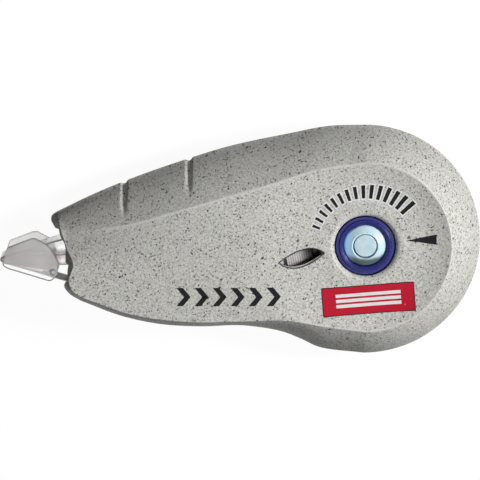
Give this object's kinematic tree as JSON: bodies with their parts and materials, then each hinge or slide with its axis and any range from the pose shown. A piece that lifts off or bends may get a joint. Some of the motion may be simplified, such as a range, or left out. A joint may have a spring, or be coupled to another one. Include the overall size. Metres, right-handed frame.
{
  "type": "correction tape",
  "caption": "Correction tape dispenser: a snap-together two-part case round a geared tape spool and take-up reel, with a clear sprung applicator tip.",
  "frame": {"origin": "where the axis of the tape spool meets the outer back face, on which the dispenser lies", "axes": "+X from the applicator tip to the round rear end, +Y across the case to its upper edge with the grooves, +Z along the spool axis to the front face with the window"},
  "size_m": [0.0831, 0.0402, 0.0154],
  "materials": {
    "case": "speckled recycled plastic, satin",
    "ice_plastic": "pale blue, glossy, slightly clear",
    "navy_plastic": "dark blue, glossy, slightly clear",
    "gear_plastic": "off-white acetal",
    "rubber": "black rubber",
    "tape": "white correction layer on film",
    "film": "bare carrier film",
    "clear_plastic": "clear, slightly smoky"
  },
  "bodies": {
    "casing": {"case_front": "case", "case_back": "case", "hub_cap": "ice_plastic", "hub_pin": "ice_plastic", "fresh_tape": "tape", "spent_tape": "film"},
    "drive": {"drive_gear": "gear_plastic", "friction_ring": "rubber"},
    "supply": {"supply_spool": "navy_plastic", "tape_roll": "tape", "film_washer": "film"},
    "take_up": {"take_up_reel": "gear_plastic", "spent_roll": "film"},
    "tip": {"applicator_tip": "clear_plastic", "tape_loop": "tape"}
  },
  "joints": [
    {"name": "drive_spin", "type": "hinge", "parent": "casing", "child": "drive", "pos_m": [0, 0, 0.0077], "axis": [0, 0, 1], "continuous": true},
    {"name": "supply_slip", "type": "hinge", "parent": "drive", "child": "supply", "pos_m": [0, 0, 0.0077], "axis": [0, 0, 1], "continuous": true},
    {"name": "take_up_spin", "type": "hinge", "parent": "casing", "child": "take_up", "pos_m": [-0.01799, -0.00063, 0.0077], "axis": [0, 0, 1], "continuous": true},
    {"name": "tip_flex", "type": "hinge", "parent": "casing", "child": "tip", "pos_m": [-0.0435, -0.0031, 0.0077], "axis": [0, 0, 1], "range_deg": [-2.5, 2.5], "stiffness_Nm_per_rad": 1.3}
  ],
  "couplings": [
    {"joint": "take_up_spin", "follows": "drive_spin", "ratio": -2.2727}
  ]
}
